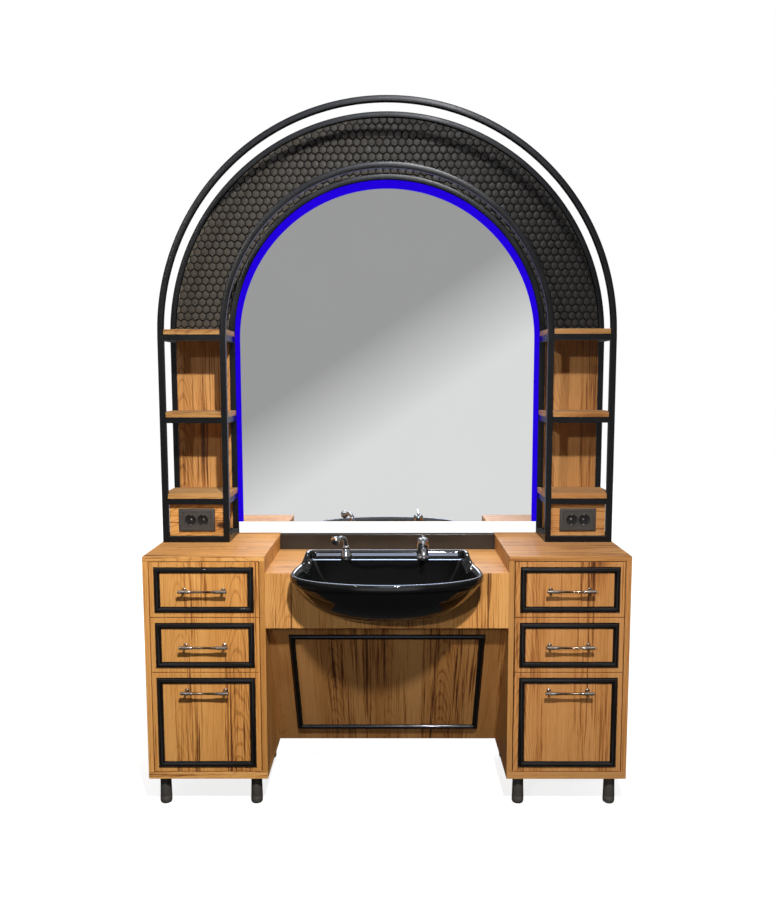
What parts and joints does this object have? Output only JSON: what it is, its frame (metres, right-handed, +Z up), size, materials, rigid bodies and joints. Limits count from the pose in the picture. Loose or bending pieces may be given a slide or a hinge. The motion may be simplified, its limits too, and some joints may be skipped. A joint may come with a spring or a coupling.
{
  "type": "salon wash and styling station",
  "caption": "Oak salon station: drawer cabinets beside a black wash basin, shelf towers with sockets, and a double tube arch holding a lit arched mirror.",
  "frame": {"origin": "on the floor at mid-width, midway between the front of the basin and the rear board", "axes": "+Z up, the working face looks along -Y, +X to the right seen from the front"},
  "size_m": [1.6, 0.675, 2.385],
  "materials": {
    "oak": "golden oak laminate with knots",
    "oak_dark": "brown oak laminate",
    "melamine": "plain oak melamine",
    "black_steel": "satin black powder coat",
    "black_lacquer": "satin black lacquer",
    "black_plastic": "black moulded plastic",
    "black_glaze": "gloss black glaze",
    "chrome": "polished chrome",
    "grey_plastic": "anthracite plastic",
    "leather": "dark quilted leatherette",
    "mirror": "silvered glass",
    "blue_light": "lit blue diffuser"
  },
  "bodies": {
    "station": {"left_outer_side": "oak", "left_inner_side": "oak", "left_top": "oak", "left_floor": "oak", "left_leg_front_outer": "black_plastic", "left_leg_front_inner": "black_plastic", "left_leg_rear_outer": "black_plastic", "left_leg_rear_inner": "black_plastic", "left_tower_frame": "black_steel", "left_shelf_insert": "oak", "left_socket": "grey_plastic", "right_outer_side": "oak", "right_inner_side": "oak", "right_top": "oak", "right_floor": "oak", "right_leg_front_outer": "black_plastic", "right_leg_front_inner": "black_plastic", "right_leg_rear_outer": "black_plastic", "right_leg_rear_inner": "black_plastic", "right_tower_frame": "black_steel", "right_shelf_insert": "oak", "right_socket": "grey_plastic", "rear_panel": "melamine", "deck": "oak", "apron": "oak", "knee_panel": "oak_dark", "knee_moulding": "black_lacquer", "upstand": "black_lacquer", "basin": "black_glaze", "waste_trap": "chrome", "mixer_body": "chrome", "shower_holder": "chrome", "front_outer_arch": "black_steel", "front_inner_arch": "black_steel", "rear_outer_arch": "black_steel", "rear_inner_arch": "black_steel", "arch_panel": "leather", "mirror_light": "blue_light", "mirror": "mirror"},
    "left_drawer_top": {"left_drawer_top": "oak", "left_moulding_top": "black_lacquer", "left_handle_top": "chrome"},
    "left_drawer_middle": {"left_drawer_middle": "oak", "left_moulding_middle": "black_lacquer", "left_handle_middle": "chrome"},
    "left_drawer_bottom": {"left_drawer_bottom": "oak", "left_moulding_bottom": "black_lacquer", "left_handle_bottom": "chrome"},
    "right_drawer_top": {"right_drawer_top": "oak", "right_moulding_top": "black_lacquer", "right_handle_top": "chrome"},
    "right_drawer_middle": {"right_drawer_middle": "oak", "right_moulding_middle": "black_lacquer", "right_handle_middle": "chrome"},
    "right_drawer_bottom": {"right_drawer_bottom": "oak", "right_moulding_bottom": "black_lacquer", "right_handle_bottom": "chrome"},
    "mixer_cap": {"mixer_cap": "chrome"},
    "mixer_lever": {"mixer_lever": "chrome"},
    "hand_shower": {"hand_shower": "chrome"}
  },
  "joints": [
    {"name": "left_top_slide", "type": "slide", "parent": "station", "child": "left_drawer_top", "axis": [0, -1, 0], "range_m": [0, 0.32]},
    {"name": "left_middle_slide", "type": "slide", "parent": "station", "child": "left_drawer_middle", "axis": [0, -1, 0], "range_m": [0, 0.32]},
    {"name": "left_bottom_slide", "type": "slide", "parent": "station", "child": "left_drawer_bottom", "axis": [0, -1, 0], "range_m": [0, 0.32]},
    {"name": "right_top_slide", "type": "slide", "parent": "station", "child": "right_drawer_top", "axis": [0, -1, 0], "range_m": [0, 0.32]},
    {"name": "right_middle_slide", "type": "slide", "parent": "station", "child": "right_drawer_middle", "axis": [0, -1, 0], "range_m": [0, 0.32]},
    {"name": "right_bottom_slide", "type": "slide", "parent": "station", "child": "right_drawer_bottom", "axis": [0, -1, 0], "range_m": [0, 0.32]},
    {"name": "mixer_turn", "type": "hinge", "parent": "station", "child": "mixer_cap", "pos_m": [0.124, 0.0675, 0.8686], "axis": [0, 0, 1], "range_deg": [-50, 50]},
    {"name": "mixer_lift", "type": "hinge", "parent": "mixer_cap", "child": "mixer_lever", "pos_m": [0.124, 0.0835, 0.8889], "axis": [-1, 0, 0], "range_deg": [0, 25]},
    {"name": "shower_pull", "type": "slide", "parent": "station", "child": "hand_shower", "axis": [0, 0, 1], "range_m": [0, 0.1]}
  ]
}
